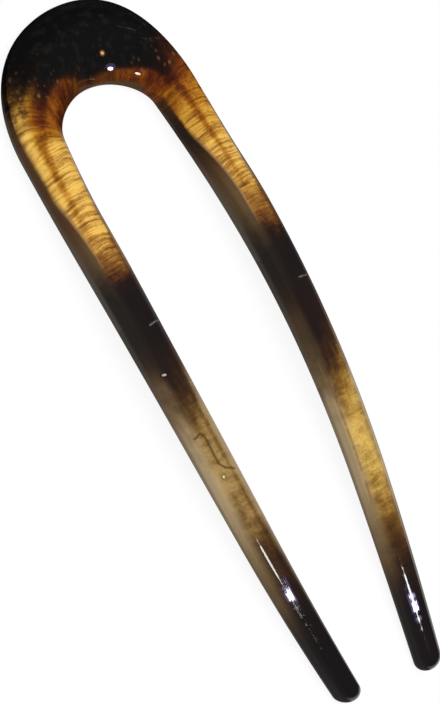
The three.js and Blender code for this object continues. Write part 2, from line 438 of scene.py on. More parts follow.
# %% [markdown]
# ## Rings of points, and coordinates that travel with them
#
# Now each half gets its rings, from the apex to the nose of its tip, and the two halves are joined into
# one long row from the left tip over the crown to the right tip. Each point keeps its own surface
# coordinates: its run along the pin (0 at the apex, 1 at the springing line, 2 at the tip), its place
# across (-1 at the inner edge, 1 at the outer one), how far it faces up, its lift (0 at the foot of the
# wall, 1 where the dome starts), its hand (-1 on the left half, 1 on the right one) and its flow in
# millimetres for textures. A UV map could hold two of these, but named attributes read better in a
# material.

# %% Rings of one half
UNEVEN_FROM = 0.3  # of the normal's upward part: the unevenness fades out towards the walls
HAND_FULL = 0.4  # of the run: the two hands pass into each other over the apex


def half_rings(side):
    """Points of the rings of one half, apex first, the surface coordinates of each point, and the tip."""
    inner, outer, nose, last_slide = half_edges(side)
    span = LEG_LENGTH[side] - NOSE_LENGTH
    run = np.concatenate([CROWN_STEPS, 1 + LEG_STEPS, 2 + np.sin(NOSE_TURN) * NOSE_LENGTH / span])
    shrink = np.concatenate([np.ones(len(run) - NOSE_RINGS), np.cos(NOSE_TURN)])[:, None]
    on_nose = np.tile(TIP_SECTION, (NOSE_RINGS, 1))
    sizes = np.concatenate([section_sizes(CROWN_STEPS, LEG_STEPS * span, span), on_nose])
    width = np.linalg.norm(outer - inner, axis=1)
    across = (outer - inner) / width[:, None]
    middle = (outer + inner) / 2
    u, v, out, up = sections(width, sizes)
    like = np.ones_like(u)
    steps = np.linalg.norm(np.diff(middle, axis=0), axis=1)
    travelled = np.concatenate([[0], np.cumsum(steps)])
    along = side * travelled[:, None] * like
    marks = mark_distances(side, run, travelled, width, along, u)
    marks = {name: np.where(up > 0, found, FAR_AWAY) for name, found in marks.items()}
    height = unevenness(side, run, along, u, marks) * smooth(up / UNEVEN_FROM)
    thickness, dome = sizes[:, :1], sizes[:, 1:2]
    points = arched(
        middle[:, :1] + across[:, :1] * (u + out * height) * shrink,
        middle[:, 1:] + across[:, 1:] * (u + out * height) * shrink,
        thickness / 2 + (v + up * height - thickness / 2) * shrink,
    )
    places = {
        "run": run[:, None] * like,
        "across": 2 * u / width[:, None],
        "facing": up,
        "lift": v / (thickness - dome),
        "hand": side * smooth(run / HAND_FULL)[:, None] * like,
        "flow": np.stack([along, u, v], axis=-1),
        **marks,
    }
    tip = arched(*(middle[-1] - last_slide + nose), thickness[-1, 0] / 2)
    return points, places, tip


left_points, left_places, left_tip = half_rings(-1)
right_points, right_places, right_tip = half_rings(1)
ring_points = np.concatenate([left_points[:0:-1], right_points])
ring_places = {key: np.concatenate([left_places[key][:0:-1], right_places[key]]) for key in left_places}
APEX_RING = len(left_points) - 1
print("rings:", len(ring_points), "with", ring_points.shape[1], "points each")

# %% [markdown]
# ## Setting the pin down on the table
#
# The CAD model lies on the table on its crown and its tips, a few degrees nose down. The record keeps the
# direction of the crown's flat underside, so the tilt is read from there, and the box of the CAD model
# says where the pin goes. Nothing is fitted by eye.

# %% Tilt and place the rings
underside = frame["record"]["mounts"][0]["axis"]
TILT = math.atan2(underside[1], -underside[2])


def tilted(points):
    """Points with the tilt of the pin, turned from millimetres into metres."""
    y = points[..., 1] * math.cos(TILT) - points[..., 2] * math.sin(TILT)
    z = points[..., 1] * math.sin(TILT) + points[..., 2] * math.cos(TILT)
    return MM * np.stack([points[..., 0], y, z], axis=-1)


ring_points = tilted(ring_points)
tips = tilted(np.array([left_tip, right_tip]))
every_point = np.concatenate([ring_points.reshape(-1, 3), tips])
lowest, highest = every_point.min(axis=0), every_point.max(axis=0)
shift = (np.array(cad_low) + np.array(cad_high) - lowest - highest) / 2
shift[2] = cad_low[2] - lowest[2]
ring_points += shift
tips += shift
print("tilt, degrees:", round(math.degrees(TILT), 3), "shift, mm:", (shift / MM).round(3))

# %% [markdown]
# ## Three pieces that look like one
#
# The real pin is a single moulding, and its legs bend when it is pushed into the hair. In the frame each
# leg turns about one flex line. So the mesh is cut in two places, well above the flex lines and inside
# the black bands. A leg piece starts at the very ring where the crown piece ends, and a sharp edge round
# each cut keeps the hidden end faces from pulling on the normals of the polished surface.

# %% Where the cuts lie
SEAM_DROP = 27.5  # below the springing line


def seam_ring(side):
    """How many rings from the apex the cut lies."""
    share = SEAM_DROP / (LEG_LENGTH[side] - NOSE_LENGTH)
    return CROWN_RINGS - 1 + round(share * (LEG_RINGS - 1))


left_seam = APEX_RING - seam_ring(-1)
right_seam = APEX_RING + seam_ring(1)
print("cuts at the rings", left_seam, "and", right_seam, "of", len(ring_points))

# %% [markdown]
# ### Rolling the skin out flat
#
# The rings also give a neat UV map for baking: round the section one way and along the piece the other
# way, as if the skin were slit underneath and rolled out flat. Smart UV Project would cut it into many
# islands, with a seam in the picture round each of them. The fans over the two ends get a narrow strip of
# the map.

# %% UV map of a skin
CAP_SHARE = 0.02  # of the UV map, kept for each of the two ends


def unrolled(rings, count):
    """UV corners of the side faces, then of the two fans, in the order in which they are made."""
    row = np.arange(rings - 1)[:, None, None]
    here = np.arange(count)[None, :, None]
    round_share = (here + np.array([0, 1, 1, 0])) / count
    along_share = CAP_SHARE + (1 - 2 * CAP_SHARE) * (row + np.array([0, 0, 1, 1])) / (rings - 1)
    sides = np.stack(np.broadcast_arrays(round_share, along_share), axis=-1).reshape(-1, 2)
    fans = []
    for low, high, turn in ((0.0, CAP_SHARE, 1), (1.0, 1 - CAP_SHARE, 0)):
        for k in range(count):
            fans += [((k + 0.5) / count, low), ((k + turn) / count, high), ((k + 1 - turn) / count, high)]
    return np.concatenate([sides, fans])


print("UV corners of a piece of 2 rings with 4 points:", len(unrolled(2, 4)))

# %% [markdown]
# ### From rings to a mesh
#
# Neighbouring rings are joined by four-cornered faces and the ends are closed by fans. A Bridge Edge
# Loops operator would do the same, but with the points in order the faces can simply be counted out. Then
# the surface coordinates are written to the mesh as attributes, under the names that the materials ask
# for.

# %% Skin the rings
def skinned(name, first, last, start_point, end_point):
    """A closed mesh over the rings from first to last, with a fan over each end."""
    points = ring_points[first:last + 1]
    rings, count = points.shape[:2]
    row = np.arange(rings - 1)[:, None] * count
    here = np.arange(count)[None, :]
    after = (here + 1) % count
    sides = np.stack([row + here, row + after, row + count + after, row + count + here], axis=-1)
    start, end = rings * count, rings * count + 1
    final = (rings - 1) * count
    fans = [(start, (k + 1) % count, k) for k in range(count)]
    fans += [(end, final + k, final + (k + 1) % count) for k in range(count)]
    mesh = bpy.data.meshes.new(name)
    vertices = np.concatenate([points.reshape(-1, 3), [start_point, end_point]])
    mesh.from_pydata(vertices.tolist(), [], sides.reshape(-1, 4).tolist() + fans)
    mesh.polygons.foreach_set("use_smooth", [True] * len(mesh.polygons))
    ends = np.empty(2 * len(mesh.edges), dtype=int)
    mesh.edges.foreach_get("vertices", ends)
    low, high = ends.reshape(-1, 2).min(axis=1), ends.reshape(-1, 2).max(axis=1)
    cut_first = (high < count) & (first > 0)
    cut_last = (low >= final) & (high < start) & (last < len(ring_points) - 1)
    mesh.attributes.new("sharp_edge", "BOOLEAN", "EDGE").data.foreach_set("value", cut_first | cut_last)
    uv_map = mesh.uv_layers.new(name="OFBake")
    uv_map.data.foreach_set("uv", unrolled(rings, count).astype(np.float32).ravel())
    for key, values in ring_places.items():
        used = values[first:last + 1]
        caps = np.stack([used[0].mean(axis=0), used[-1].mean(axis=0)])
        flat = np.concatenate([used.reshape(rings * count, -1), caps.reshape(2, -1)]).astype(np.float32)
        kind, field = ("FLOAT_VECTOR", "vector") if flat.shape[1] == 3 else ("FLOAT", "value")
        mesh.attributes.new(key, kind, "POINT").data.foreach_set(field, flat.ravel())
    piece = bpy.data.objects.new(name, mesh)
    bpy.context.scene.collection.objects.link(piece)
    print(name, "faces:", len(mesh.polygons), "sharp edges:", int((cut_first | cut_last).sum()))
    return piece


left_centre = ring_points[left_seam].mean(axis=0)
right_centre = ring_points[right_seam].mean(axis=0)
crown = skinned("pin_crown", left_seam, right_seam, left_centre, right_centre)
left_leg = skinned("pin_left_leg", 0, left_seam, tips[0], left_centre)
right_leg = skinned("pin_right_leg", right_seam, len(ring_points) - 1, right_centre, tips[1])

# %% [markdown]
# ## A check against the solids
#
# The new skin stands for the CAD solids, so it should lie on them. A BVH tree of the solids' triangles
# answers how far each new vertex is from them, which is a quick check that the same rails were used.

# %% Compare the skin with the CAD solids
CHECK_EVERY = 11  # rings
corners, triangles = [], []
for node in frame["nodes"].values():
    offset = len(corners)
    corners += [vertex.co.copy() for vertex in node.data.vertices]
    triangles += [[offset + k for k in polygon.vertices] for polygon in node.data.polygons]
solids = BVHTree.FromPolygons(corners, triangles)
gaps = [solids.find_nearest(Vector(point))[3] for point in ring_points[::CHECK_EVERY].reshape(-1, 3)]
print("skin to solids, mm: mean", round(float(np.mean(gaps)) / MM, 3), "most", round(max(gaps) / MM, 3))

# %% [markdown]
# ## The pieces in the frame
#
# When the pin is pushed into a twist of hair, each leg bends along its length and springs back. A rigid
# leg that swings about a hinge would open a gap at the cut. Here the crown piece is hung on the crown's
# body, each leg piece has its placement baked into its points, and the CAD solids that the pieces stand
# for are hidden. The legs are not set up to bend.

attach(crown, "crown")
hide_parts("crown")
for leg, body, centre in ((left_leg, "left_leg", left_centre), (right_leg, "right_leg", right_centre)):
    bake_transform(leg)
    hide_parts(body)

# %% [markdown]
# ## Writing node trees as recipes
#
# Materials are built from nodes. Wiring them by hand in Python gets long, so a small class adds a node,
# feeds its inputs with numbers or with other nodes' outputs, and gives its output back. The same class is
# used for the shared node groups and for the materials.

# %% A helper for node trees
class Recipe:
    """Adds nodes to a tree, one step at a time."""

    def __init__(self, tree):
        self.tree = tree

    def feed(self, socket, value):
        if isinstance(value, bpy.types.NodeSocket):
            self.tree.links.new(value, socket)
        elif value is not None:
            socket.default_value = value

    def add(self, kind, feeds=None, output=0, **settings):
        node = self.tree.nodes.new(kind)
        for key, value in settings.items():
            setattr(node, key, value)
        for key, value in (feeds or {}).items():
            self.feed(node.inputs[key], value)
        return node.outputs[output] if node.outputs else None

    def place(self, name, output="Fac"):
        return self.add("ShaderNodeAttribute", attribute_name=name, output=output)

    def math(self, operation, a, b=None, c=None):
        feeds = {k: value for k, value in enumerate((a, b, c)) if value is not None}
        return self.add("ShaderNodeMath", feeds, operation=operation)

    def times(self, a, *others):
        for b in others:
            a = self.math("MULTIPLY", a, b)
        return a

    def sum(self, a, *others):
        for b in others:
            a = self.math("ADD", a, b)
        return a

    def scaled(self, value, by, plus):
        """The value times one thing, plus another."""
        return self.math("MULTIPLY_ADD", value, by, plus)

    def centred(self, value):
        """A noise from 0 to 1 as one from -0.5 to 0.5."""
        return self.math("SUBTRACT", value, 0.5)

    def ramp(self, value, low, high, start=0.0, end=1.0):
        """Goes smoothly from start, at low, to end, at high. High may be below low."""
        feeds = {"Value": value, "From Min": low, "From Max": high, "To Min": start, "To Max": end}
        return self.add("ShaderNodeMapRange", feeds, interpolation_type="SMOOTHSTEP")

    def hump(self, value, middle, reach):
        """1 at the middle, falling smoothly to 0 at the reach on both sides."""
        return self.ramp(self.math("ABSOLUTE", self.math("SUBTRACT", value, middle)), reach, 0.0)

    def mix(self, share, a, b, how="MIX"):
        feeds = {0: share, 6: a, 7: b}
        return self.add("ShaderNodeMix", feeds, output=2, data_type="RGBA", blend_type=how)

    def noise(self, place, scale, detail=2.0, roughness=0.5):
        feeds = {"Vector": place, "Scale": scale, "Detail": detail, "Roughness": roughness}
        return self.add("ShaderNodeTexNoise", feeds)

    def streaks(self, along, over, per_along, per_over, layer, detail=2.0, roughness=0.5):
        """Stretched noise: its own number of cells for each unit along and across. Layers are unlike."""
        place = self.vector(self.times(along, per_along), self.times(over, per_over), layer)
        return self.noise(place, 1.0, detail, roughness)

    def vector(self, x, y, z):
        return self.add("ShaderNodeCombineXYZ", {0: x, 1: y, 2: z})

    def parts(self, vector):
        return self.add("ShaderNodeSeparateXYZ", {0: vector}).node.outputs

    def group(self, group, feeds):
        node = self.tree.nodes.new("ShaderNodeGroup")
        node.node_tree = group
        for key, value in feeds.items():
            self.feed(node.inputs[key], value)
        return node.outputs


print("steps of a recipe:", [name for name in vars(Recipe) if not name.startswith("_")])

# %% [markdown]
# ### Groups and colours
#
# Effects that more than one material uses are node groups, as in the node editor: built once, with named
# inputs and outputs, and placed wherever they are needed. Colours are easier to judge as the usual values
# from 0 to 255, but a shader counts in linear light, so they are converted.

# %% Empty groups and linear colours
def new_group(name, inputs, outputs):
    """An empty node group, its recipe, its inputs and its output node."""
    tree = bpy.data.node_groups.new(name, "ShaderNodeTree")
    kinds = {"value": "NodeSocketFloat", "colour": "NodeSocketColor", "vector": "NodeSocketVector"}
    for way, sockets in (("INPUT", inputs), ("OUTPUT", outputs)):
        for label, kind in sockets.items():
            tree.interface.new_socket(name=label, in_out=way, socket_type=kinds[kind])
    entry = tree.nodes.new("NodeGroupInput")
    exit_node = tree.nodes.new("NodeGroupOutput")
    return tree, Recipe(tree), entry.outputs, exit_node.inputs


def shade(red, green, blue):
    """A colour from the usual 0 to 255 values, made linear for the shader."""
    values = [channel / 255 for channel in (red, green, blue)]
    linear = [v / 12.92 if v <= 0.04045 else ((v + 0.055) / 1.055) ** 2.4 for v in values]
    return (*linear, 1.0)


print("mid grey is", round(shade(128, 128, 128)[0], 3))

# %% [markdown]
# ## Growth lines
#
# In the gold parts the plastic looks like tiger's eye: fine dark lines run across the pin, about half a
# millimetre apart, nearly straight and never quite alike. A Wave texture would repeat too evenly. Noise
# that is stretched far more across the pin than along it gives lines of uneven strength. A slower noise
# bends them a little, and they bow towards the edges as growth rings do. A fine grit, hardly stretched at
# all, keeps the clear parts from looking painted. Both the crown and the legs use these lines, so they
# are a node group with the pitch and the waviness as inputs.

# %% Group: growth lines
growth_lines, g, given, result = new_group(
    "growth_lines",
    {"Flow": "vector", "Pitch": "value", "Waviness": "value", "Bow": "value"},
    {"Fine": "value", "Broad": "value", "Cloudy": "value", "Grit": "value"},
)
along, over = g.parts(given["Flow"])[:2]
slow = g.streaks(along, over, 0.35, 0.40, 0.0)
bow = g.times(over, over, given["Bow"], g.ramp(along, -5.0, 5.0, 1.0, -1.0))
bent = g.sum(along, bow, g.times(g.centred(slow), given["Waviness"]))
step = g.math("DIVIDE", bent, given["Pitch"])
fine = g.streaks(step, over, 1.0, 0.16, 3.7, roughness=0.6)
thin = g.streaks(step, over, 0.8, 0.14, 6.3)
broad = g.streaks(step, over, 0.22, 0.25, 9.1)
grit = g.streaks(along, over, 3.4, 2.2, 1.9)
cloudy = g.noise(given["Flow"], 0.5, 4.0, 0.6)
g.feed(result["Fine"], g.sum(g.ramp(fine, 0.30, 0.70), g.times(g.ramp(thin, 0.54, 0.72), 0.9), -0.7))
g.feed(result["Broad"], g.ramp(broad, 0.34, 0.68, -0.5, 0.5))
g.feed(result["Cloudy"], g.centred(cloudy))
g.feed(result["Grit"], g.centred(grit))
print(growth_lines.name, "nodes:", len(growth_lines.nodes))

# %% [markdown]
# ## Dye in clear plastic
#
# The colour is not painted on: dark dye is clouded into a honey-coloured plastic. Where the dye is
# deeper, more light is swallowed, and red is swallowed last. So gold passes through amber and brown into
# black. A Mix node between gold and black would give a dull olive on the way. Raising the dye's colour to
# a power, as the Gamma node does, follows the way light really fades with depth. The depth comes to rest
# softly at zero, so that no border shows where the dye ends.

# %% Group: dyed shell
DYE_END_SOFTNESS = 0.35
dyed_shell, g, given, result = new_group(
    "dyed_shell",
    {"Base": "colour", "Dye": "colour", "Depth": "value", "Black": "colour"},
    {"Color": "colour"},
)
depth = g.math("SMOOTH_MAX", given["Depth"], 0.0, DYE_END_SOFTNESS)
let_through = g.add("ShaderNodeGamma", {"Color": given["Dye"], "Gamma": depth})
body = g.mix(1.0, given["Base"], let_through, "MULTIPLY")
g.feed(result["Color"], g.mix(1.0, body, given["Black"], "ADD"))
print(dyed_shell.name, "nodes:", len(dyed_shell.nodes))

# %% [markdown]
# ## Light at the edges
#
# From the side each leg shows three strips: its top face, the smoky wall below it, and a pale rim on the
# far edge, where light from the table comes up through the clear plastic; the rim's tones are painted
# light. The borders between them are soft, with a brown line before the rim and a line of a given colour
# along the wall, which on the crown is a faint painted highlight. The foot of the wall, close to the
# table, is greyer: a painted reflection of the shaded table. A true glass shader could do all this, but
# slowly and with noise. Here the strips are laid on by the surface coordinates.

# %% Group: edge strips
# A painted reflection of the shaded table, at the foot of a wall.
FOOT_REFLECTION_GREY = shade(92, 86, 80)
RIM_LINE_BROWN = (0.09, 0.032, 0.006, 1.0)
edge_strips, g, given, result = new_group(
    "edge_strips",
    {"Face": "colour", "Wall": "colour", "Lit Rim": "colour", "Line": "colour", "Near": "value",
     "Facing": "value", "Lift": "value", "Near Border": "value", "Far Border": "value", "Soft": "value",
     "Far Dark": "value", "Line Share": "value", "Foot Reflection Share": "value"},
    {"Color": "colour", "Gloss": "value"},
)
soft = given["Soft"]
hard = g.times(soft, -1.0)
past_near = g.math("SUBTRACT", given["Near"], given["Near Border"])
past_far = g.math("SUBTRACT", given["Far Border"], given["Near"])
on_wall = g.math("MAXIMUM", g.ramp(past_near, hard, soft), g.ramp(given["Facing"], 0.55, 0.25))
# The foot of a wall is painted greyer: a painted reflection of the shaded table.
foot_reflection = g.times(g.ramp(given["Lift"], 0.62, 0.36), given["Foot Reflection Share"])
wall = g.mix(foot_reflection, given["Wall"], FOOT_REFLECTION_GREY)
far_dark = g.times(g.hump(past_far, 0.0, g.times(soft, 1.4)), given["Far Dark"])
face = g.mix(far_dark, given["Face"], RIM_LINE_BROWN)
face = g.mix(g.ramp(past_far, g.times(hard, 0.6), soft), face, given["Lit Rim"])
line = g.times(g.hump(past_near, 0.0, 0.10), given["Line Share"])
g.feed(result["Color"], g.mix(line, g.mix(on_wall, face, wall), given["Line"]))
print(edge_strips.name, "nodes:", len(edge_strips.nodes))

# %% [markdown]
# ### How much polish a place has
#
# A polishing wheel reaches the top of the pin easily, its walls less and its underside hardly at all. So
# the tops are mirror-bright and the walls much less. The same group puts this out as a second value,
# because it goes by the same borders.

# %% Edge strips: the polish
top_polish = g.ramp(given["Facing"], 0.55, 0.80, 0.08, 1.0)
far_polish = g.ramp(given["Near"], -0.55, -0.85, 1.0, 0.06)
under_polish = g.ramp(given["Facing"], -0.6, -0.05, 0.3, 1.0)
g.feed(result["Gloss"], g.times(top_polish, far_polish, under_polish))
print(edge_strips.name, "nodes with the polish:", len(edge_strips.nodes))

# %% [markdown]
# ## Scratches, nubs and the crack
#
# The distances that the vertices carry are cut into lines here: a scratch is a light hairline that comes
# and goes, a nub is a small round spot in a dark ring, and the crack is a dark brown line. The same round
# spot also draws the small glints, which are painted highlights. A picture of the marks would have to be
# drawn and mapped, and it would blur when seen close. A ramp of a distance never does.

# %% Group: worn marks
CRACK_BROWN = (0.075, 0.033, 0.009, 1.0)
RING_BLACK = (0.004, 0.003, 0.003, 1.0)
worn_marks, g, given, result = new_group(
    "worn_marks",
    {"Color": "colour", "Flow": "vector", "Scratch": "value", "Nub And Glint": "value", "Crack": "value",
     "Scratch Color": "colour", "Nub And Glint Color": "colour"},
    {"Color": "colour"},
)
patchy = g.ramp(g.noise(given["Flow"], 1.6), 0.36, 0.58, 0.35, 0.85)
hairline = g.times(g.ramp(given["Scratch"], 0.20, 0.03), patchy)
split = g.ramp(given["Crack"], 0.30, 0.04, 0.0, 0.80)
ring = g.times(g.hump(given["Nub And Glint"], 0.32, 0.20), 0.30)
nub_and_glint_spot = g.ramp(given["Nub And Glint"], 0.21, 0.06, 0.0, 0.92)
colour = g.mix(hairline, given["Color"], given["Scratch Color"])
colour = g.mix(split, colour, CRACK_BROWN)
colour = g.mix(ring, colour, RING_BLACK)
g.feed(result["Color"], g.mix(nub_and_glint_spot, colour, given["Nub And Glint Color"]))
print(worn_marks.name, "nodes:", len(worn_marks.nodes))

# %% [markdown]
# ## Handling wear
#
# A polished pin that has been worn has hair-fine scratches along its length and faint smears. They hardly
# show until a lamp is mirrored in the surface. So they belong in the roughness and in a very low bump,
# and not in the colour.

# %% Group: handling wear
handling_wear, g, given, result = new_group(
    "handling_wear", {"Flow": "vector"}, {"Roughness": "value", "Height": "value"})
along, over, up = g.parts(given["Flow"])
smear = g.streaks(along, over, 0.25, 0.5, up, detail=3.0)
hairline = g.streaks(along, over, 0.6, 14.0, up)
g.feed(result["Roughness"], g.ramp(smear, 0.35, 0.75, 0.24, 0.38))
g.feed(result["Height"], g.ramp(hairline, 0.62, 0.72))
print(handling_wear.name, "nodes:", len(handling_wear.nodes))

# %% [markdown]
# ## The palette
#
# A tortoiseshell plastic has few colours: a honey or tan base, the amber or brown that the dye leaves,
# and black. The walls and rims are the same plastic, seen where it is thin or full of light, so they have
# their own greyer tones. A dye is given as the share of red, green and blue that it lets through at a
# depth of 1.

# %% Colours of the plastic
BLACK = shade(16, 15, 15)
LEG_BLACK = shade(28, 24, 23)
TIP_BLACK = shade(20, 19, 21)
GOLD = shade(255, 211, 110)
TAN = shade(163, 134, 81)
HONEY = shade(214, 178, 93)
AMBER_DYE = (0.26, 0.112, 0.010, 1.0)
SMOKE_DYE = (0.22, 0.18, 0.12, 1.0)
BAND_DYE = (0.22, 0.14, 0.085, 1.0)
BROWN_DYE = (0.30, 0.23, 0.13, 1.0)
WALL_DYE = (0.30, 0.25, 0.19, 1.0)
NO_GLOW = (0.0, 0.0, 0.0, 1.0)
print("amber dye lets through", AMBER_DYE[:3])

# %% [markdown]
# ### Tones of the walls, the rims and the marks
#
# These places are too small for dyes of their own. Each gets a plain tone, named for what it is. The
# rim tones are painted light, the ridge tone is a painted highlight, and the light tones of the dot, the
# spot and the sparkle are painted glints.

# %% Colours of the edges and marks
WALL_DARK = shade(12, 11, 11)
WALL_AMBER = shade(85, 59, 37)
WALL_SMOKE = shade(96, 75, 51)
WALL_BLACK = shade(40, 34, 30)
WALL_HORN = shade(188, 166, 128)
TIP_WALL = shade(37, 36, 37)
# Painted light: the rims are lit by the table through the clear plastic.
LIT_RIM_BROWN = shade(96, 64, 29)
LIT_RIM_SMOKE = shade(134, 110, 81)
LIT_RIM_PALE = shade(158, 138, 107)
LIT_RIM_IN_BLACK = {-1: shade(81, 72, 69), 1: shade(40, 34, 31)}  # left and right
# A painted highlight along the ridge where face and wall meet.
RIDGE_HIGHLIGHT = shade(175, 134, 92)
LINE_BROWN = shade(103, 72, 37)
LINE_DARK = shade(61, 52, 40)
SCRATCH_GREY = shade(118, 107, 105)
CROWN_SCRATCH_GREY = shade(64, 61, 57)
# White of the nubs and of a painted glint; yellow of a painted sparkle.
NUB_AND_GLINT_WHITE = shade(197, 191, 188)
SPARKLE_GLINT_YELLOW = shade(221, 208, 138)
DOT_AMBER = shade(138, 92, 30)
# The dot's light centre is a painted glint.
DOT_PAINTED_GLINT = shade(226, 188, 138)
SPECK_GREY = shade(77, 74, 66)
SPECK_AMBER = shade(152, 103, 48)
print("smoky wall:", [round(channel, 3) for channel in WALL_SMOKE[:3]])

# %% [markdown]
# ## The clear polish
#
# All three materials end in the same shader: a coloured body under a clear coat. The body itself does not
# shine, so that the mirror-sharp glints come from the coat alone, as they do on polished acetate. A
# Glossy shader mixed in with Fresnel would look alike, but the Principled shader has the coat built in.

# %% The shader that the pieces share
BUMP_STRENGTH = 0.015
BUMP_HEIGHT = 0.0002  # metres
COAT_ROUGHNESS = 0.03
COAT_IOR = 1.5


def new_material(name):
    """An empty material and its recipe."""
    material = bpy.data.materials.new(name)
    material.use_nodes = True
    material.node_tree.nodes.clear()
    material.diffuse_color = GOLD
    return material, Recipe(material.node_tree)


def clear_coat(recipe, colour, gloss, flow):
    """Ends a recipe: the coloured body, the coat over it and the output."""
    roughness, height = recipe.group(handling_wear, {"Flow": flow})[:2]
    normal = recipe.add(
        "ShaderNodeBump", {"Strength": BUMP_STRENGTH, "Distance": BUMP_HEIGHT, "Height": height})
    shader = recipe.add("ShaderNodeBsdfPrincipled", {
        "Base Color": colour, "Roughness": roughness, "Normal": normal, "Specular IOR Level": 0.0,
        "Coat Weight": gloss, "Coat Roughness": COAT_ROUGHNESS, "Coat IOR": COAT_IOR})
    recipe.add("ShaderNodeOutputMaterial", {"Surface": shader})


print("coat of IOR", COAT_IOR, "mirrors straight on:", round(((COAT_IOR - 1) / (COAT_IOR + 1)) ** 2, 3))

# %% [markdown]
# ## The crown: where things are
#
# The crown is black on its back and outside, amber along the arch and gold on the shoulders, with a black
# band below. A painted texture could show this, but from one photo only one side of it would be known.
# Zones that go by the surface coordinates run on over the edges by themselves. Two more coordinates help:
# "near" is 1 on the edge that the camera sees the wall of and -1 on the far one, and "right share" goes
# from 0 on the left half to 1 on the right one, for all that differs between the halves. The numbers in
# the ramps of the next cells are mostly such places: a run of 1.1 lies a tenth of the way down the leg.

# %% Crown: coordinates and growth lines
crown_shell, r = new_material("crown_shell")
run, across, facing, lift, hand = (r.place(name) for name in ("run", "across", "facing", "lift", "hand"))
flow = r.place("flow", "Vector")
near = r.times(hand, across, -1.0)
right_share = r.scaled(hand, 0.5, 0.5)
growth = {"Flow": flow, "Pitch": 0.36, "Waviness": 0.9, "Bow": 0.05}
fine, broad, cloudy, grit = r.group(growth_lines, growth)[:4]
print("crown nodes, coordinates:", len(crown_shell.node_tree.nodes))

# %% [markdown]
# ## The crown: smoke
#
# Towards the legs the black gives way along a slanting front. It starts at once on the inner edge of the
# arch, where light comes through the thin rim, and late on the outer edge. On the right side it starts
# later than on the left. Each side has its own front, as the run at which the black ends for a place
# across, and clouds push it to and fro. The black itself is a grey smoke dye: a brown one would leave a
# red edge.

# %% Crown: depth of the smoke
left_front = r.sum(r.ramp(across, -0.78, 0.05, 0.02, 0.71), r.ramp(across, 0.3, 0.8, 0.0, 0.08))
right_front = r.sum(r.ramp(across, -0.95, -0.45, 0.20, 0.79), r.ramp(across, -0.90, -0.72, -0.27, 0.0))
front_at = r.scaled(r.math("SUBTRACT", right_front, left_front), right_share, left_front)
past_front = r.math("SUBTRACT", r.sum(run, r.times(cloudy, 0.42), r.times(grit, 0.16)), front_at)
arch_top = r.ramp(run, 0.62, 0.15)
smoke = r.sum(
    r.ramp(past_front, -0.28, 0.13, 3.4, 0.0), r.ramp(past_front, -0.40, -0.12, 2.0, 0.0),
    r.times(arch_top, 0.8))
print("crown nodes, smoke:", len(crown_shell.node_tree.nodes))

# %% [markdown]
# ## The crown: amber
#
# Amber fills the arch below the black, and a streak of it, the tail of the cloud, narrows down each
# shoulder. On the outside of the left shoulder the plastic is clear almost at once. The streak is a hump
# across the pin, whose middle drifts and whose width shrinks on the way down.

# %% Crown: depth of the amber
amber_run = r.scaled(right_share, -0.10, run)
clearer = r.times(r.ramp(right_share, 0.6, 0.1), r.ramp(across, 0.0, 0.55), -1.3)
amber_depth = r.sum(r.times(right_share, 0.15), clearer, r.times(arch_top, -0.45), 1.15)
drift = r.sum(
    r.times(hand, r.ramp(run, 0.85, 1.06, -0.03, 0.12)),
    r.times(right_share, r.ramp(run, 1.05, 1.15, 0.0, 0.10)))
streak_at = r.math("SUBTRACT", r.scaled(cloudy, 0.15, 0.40), drift)
streak_end = r.scaled(hand, 0.06, 1.26)
streak = r.times(
    r.hump(near, streak_at, r.ramp(run, 0.78, 1.08, 0.52, 0.24)),
    r.ramp(run, 0.58, 0.85), r.ramp(run, streak_end, 1.02), r.ramp(run, 0.88, 1.05, 0.72, 0.52))
amber = r.sum(r.ramp(amber_run, 0.76, 1.04, amber_depth, 0.0), streak)
amber = r.times(amber, r.sum(r.times(cloudy, 1.1), r.times(grit, 0.6), r.times(broad, 0.25), 1.0))
print("crown nodes, amber:", len(crown_shell.node_tree.nodes))

# %% [markdown]
# ## The crown: brown
#
# The third dye is brown. It makes the growth lines, which are fainter in the amber of the arch, a darker
# far edge, a painted shade under the right shoulder, and the band in which the gold sinks into the black
# of the leg. A lighter stripe along the near edge is less dye, so it counts below zero.

# %% Crown: depth of the brown
bright = r.times(
    r.hump(near, 0.76, 0.22), r.ramp(run, 0.78, 0.92), r.ramp(run, 1.16, 1.02), r.scaled(hand, 0.05, -0.11))
band_from = r.scaled(hand, 0.0185, 1.279)
band_at = r.math("SUBTRACT", r.scaled(cloudy, 0.05, run), band_from)
band = r.sum(r.ramp(band_at, -0.12, 0.0, 0.0, 1.3), r.ramp(band_at, -0.045, 0.03, 0.0, 3.6))
far_edge = r.ramp(near, -0.42, -0.82, 0.0, r.scaled(right_share, -0.18, 0.58))
# Painted light: the far side of the right half is made a little lighter.
lit_far = r.times(r.ramp(near, 0.15, -0.35), right_share, -0.06)
# Painted shade under the right shoulder, much weaker on the left.
shoulder_shade = r.times(r.hump(run, 1.07, 0.10), r.scaled(hand, 0.36, 0.46))
under_shade = r.times(shoulder_shade, r.ramp(near, 0.91, 1.0), 2.2)
fading = r.times(right_share, r.ramp(run, 1.08, 1.18, 0.0, 0.22))
edges = r.sum(far_edge, lit_far, under_shade, fading, r.ramp(run, 1.02, 1.2, 0.0, 0.05))
fine_share = r.ramp(run, 0.55, 0.95, 0.24, 0.54)
lines = r.sum(
    r.times(fine, fine_share), r.times(broad, 0.26), r.times(cloudy, 0.6), r.times(grit, 0.5), 0.22)
brown = r.sum(bright, band, edges, lines)
print("crown nodes, brown:", len(crown_shell.node_tree.nodes))

# %% [markdown]
# ## Colours of the crown
#
# The light passes the three dyes one after the other, so the group is used three times in a row. Tiny
# specks of lighter plastic lie in the black, faint on the back and brighter along the front. A Voronoi
# texture has one cell for each speck, and its random colour picks the few cells that get one.

